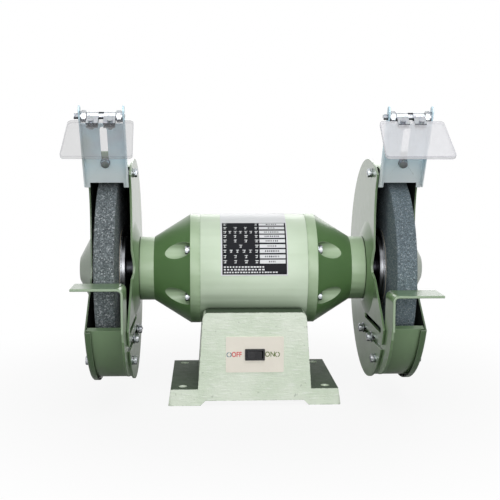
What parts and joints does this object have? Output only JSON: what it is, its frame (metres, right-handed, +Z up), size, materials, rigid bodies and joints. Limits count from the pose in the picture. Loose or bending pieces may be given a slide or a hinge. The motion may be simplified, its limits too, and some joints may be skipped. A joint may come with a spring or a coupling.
{
  "type": "bench grinder",
  "caption": "Bench grinder: a motor on a cast pedestal turns one shaft with an abrasive wheel at each end, in guards with tool rests, spark deflectors and clear eye shields.",
  "frame": {"origin": "centre of the four foot holes, on the plane of the base's underside", "axes": "+X along the motor shaft to the operator's right, +Y away from the operator, +Z up"},
  "size_m": [0.3618, 0.2697, 0.2992],
  "materials": {
    "cast_green": "rough cast, glossy pale green paint",
    "green_paint": "glossy sage green paint",
    "guard_paint": "glossy sage green paint on sheet",
    "zinc_hardware": "bright zinc plate",
    "zinc_sheet": "bluish zinc plate",
    "clear_acrylic": "clear acrylic sheet",
    "turned_steel": "turned steel",
    "core_steel": "laminated electrical steel",
    "copper_winding": "enamelled copper wire",
    "abrasive": "vitrified grey abrasive grain",
    "blotter_paper": "blotting paper",
    "cream_plate": "cream printed plate",
    "black_plastic": "black moulded plastic",
    "data_label": "printed aluminium foil",
    "can_aluminium": "drawn aluminium can",
    "white_plastic": "white moulded plastic"
  },
  "bodies": {
    "root": {"base": "cast_green", "base_cover": "zinc_sheet", "base_cover_screws": "zinc_hardware", "cable_gland": "black_plastic", "switch_plate": "cream_plate", "switch_body": "black_plastic", "capacitor": "can_aluminium", "capacitor_clip": "zinc_hardware", "terminal_block": "white_plastic", "saddle_bolts": "zinc_hardware", "stator_shell": "green_paint", "stator_core": "core_steel", "windings": "copper_winding", "data_plate": "data_label", "end_shield_left": "green_paint", "end_shield_right": "green_paint", "end_shield_bolts": "zinc_hardware", "bearing_outer_rings": "turned_steel", "bearing_balls": "turned_steel", "wave_washer": "turned_steel", "guard_plate_left": "guard_paint", "guard_plate_right": "guard_paint", "guard_strip_left": "guard_paint", "guard_strip_right": "guard_paint", "guard_cover_left": "guard_paint", "guard_cover_right": "guard_paint", "guard_screws_left": "zinc_hardware", "guard_screws_right": "zinc_hardware", "guard_mount_screws": "zinc_hardware", "deflector_bolts": "zinc_hardware"},
    "spindle": {"shaft": "turned_steel", "rotor": "core_steel", "bearing_inner_rings": "turned_steel", "inner_flange_left": "turned_steel", "inner_flange_right": "turned_steel", "outer_flange_left": "turned_steel", "outer_flange_right": "turned_steel", "wheel_blotters": "blotter_paper", "wheel_left": "abrasive", "wheel_right": "abrasive", "spindle_nut_left": "zinc_hardware", "spindle_nut_right": "zinc_hardware"},
    "rocker": {"rocker": "black_plastic"},
    "deflector_left": {"deflector_left": "zinc_sheet", "shield_rod_left": "zinc_hardware"},
    "shield_left": {"shield_clamp_left": "zinc_hardware", "shield_screws_left": "zinc_hardware", "eye_shield_left": "clear_acrylic"},
    "tool_rest_left": {"tool_rest_left": "guard_paint", "rest_bolts_left": "zinc_hardware"},
    "deflector_right": {"deflector_right": "zinc_sheet", "shield_rod_right": "zinc_hardware"},
    "shield_right": {"shield_clamp_right": "zinc_hardware", "shield_screws_right": "zinc_hardware", "eye_shield_right": "clear_acrylic"},
    "tool_rest_right": {"tool_rest_right": "guard_paint", "rest_bolts_right": "zinc_hardware"}
  },
  "joints": [
    {"name": "spindle_spin", "type": "hinge", "parent": "root", "child": "spindle", "pos_m": [0, 0, 0.132], "axis": [1, 0, 0], "continuous": true},
    {"name": "rocker_tilt", "type": "hinge", "parent": "root", "child": "rocker", "pos_m": [0, -0.0695, 0.0525], "axis": [0, 0, 1], "range_deg": [0, 14]},
    {"name": "deflector_left_slide", "type": "slide", "parent": "root", "child": "deflector_left", "axis": [0, -0.5, 0.866], "range_m": [-0.003, 0.0015]},
    {"name": "shield_left_tilt", "type": "hinge", "parent": "deflector_left", "child": "shield_left", "pos_m": [0, -0.09643, 0.28902], "axis": [1, 0, 0], "range_deg": [-35, 40]},
    {"name": "tool_rest_left_slide", "type": "slide", "parent": "root", "child": "tool_rest_left", "axis": [0, -1, 0], "range_m": [0, 0.02]},
    {"name": "deflector_right_slide", "type": "slide", "parent": "root", "child": "deflector_right", "axis": [0, -0.5, 0.866], "range_m": [-0.003, 0.0015]},
    {"name": "shield_right_tilt", "type": "hinge", "parent": "deflector_right", "child": "shield_right", "pos_m": [0, -0.09643, 0.28902], "axis": [1, 0, 0], "range_deg": [-35, 40]},
    {"name": "tool_rest_right_slide", "type": "slide", "parent": "root", "child": "tool_rest_right", "axis": [0, -1, 0], "range_m": [0, 0.02]}
  ]
}
